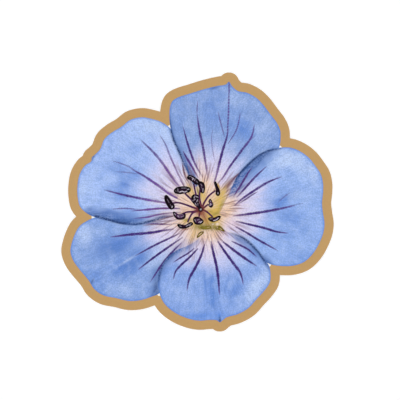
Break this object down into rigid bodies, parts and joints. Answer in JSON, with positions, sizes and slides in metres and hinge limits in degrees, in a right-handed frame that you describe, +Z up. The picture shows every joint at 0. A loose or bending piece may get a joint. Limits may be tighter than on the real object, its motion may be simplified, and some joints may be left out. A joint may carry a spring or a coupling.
{
  "type": "die-cut flower sticker",
  "caption": "Flat die-cut sticker of a wide-open blue flower with a plain tan margin, lying on its paper release liner.",
  "frame": {"origin": "centre of the outline's box, on the underside of the release liner", "axes": "+Z up out of the printed face, +X along the widest extent and to the right of the picture, +Y to the top of the picture"},
  "size_m": [0.0762, 0.0724, 0.0005],
  "materials": {
    "liner_paper": "matte",
    "adhesive": "gloss",
    "film_vinyl": "satin",
    "ink_tan": "satin",
    "ink_blue_deep": "satin",
    "ink_blue_mid": "satin",
    "ink_blue_pale": "satin",
    "ink_blue_shade": "satin",
    "ink_lilac": "satin",
    "ink_cream": "satin",
    "ink_yellow": "satin",
    "ink_violet": "satin",
    "ink_olive": "satin",
    "ink_plum": "satin",
    "ink_black": "satin"
  },
  "bodies": {
    "root": {"liner_left": "liner_paper", "liner_right": "liner_paper", "adhesive": "adhesive", "vinyl_film": "film_vinyl", "print_border": "ink_tan", "petal_lower_left": "ink_blue_mid", "petal_upper_left": "ink_blue_pale", "petal_top": "ink_blue_deep", "petal_right": "ink_blue_pale", "petal_bottom": "ink_blue_mid", "shade_upper_left": "ink_blue_shade", "shade_top": "ink_blue_shade", "shade_right": "ink_blue_shade", "shade_bottom_1": "ink_blue_shade", "shade_bottom_2": "ink_blue_shade", "glow_lilac": "ink_lilac", "throat_cream": "ink_cream", "heart_yellow": "ink_yellow", "veins_top": "ink_violet", "veins_upper_left": "ink_violet", "veins_lower_left": "ink_violet", "veins_bottom": "ink_violet", "veins_right": "ink_violet", "sepal_tip_left": "ink_olive", "sepal_tip_middle": "ink_olive", "sepal_tip_right": "ink_olive", "filaments": "ink_plum", "anther_1": "ink_black", "anther_2": "ink_black", "anther_3": "ink_black", "anther_4": "ink_black", "anther_5": "ink_black", "anther_6": "ink_black", "anther_7": "ink_black", "anther_8": "ink_black", "anther_9": "ink_black", "anther_10": "ink_black", "anther_11": "ink_black"}
  },
  "joints": []
}
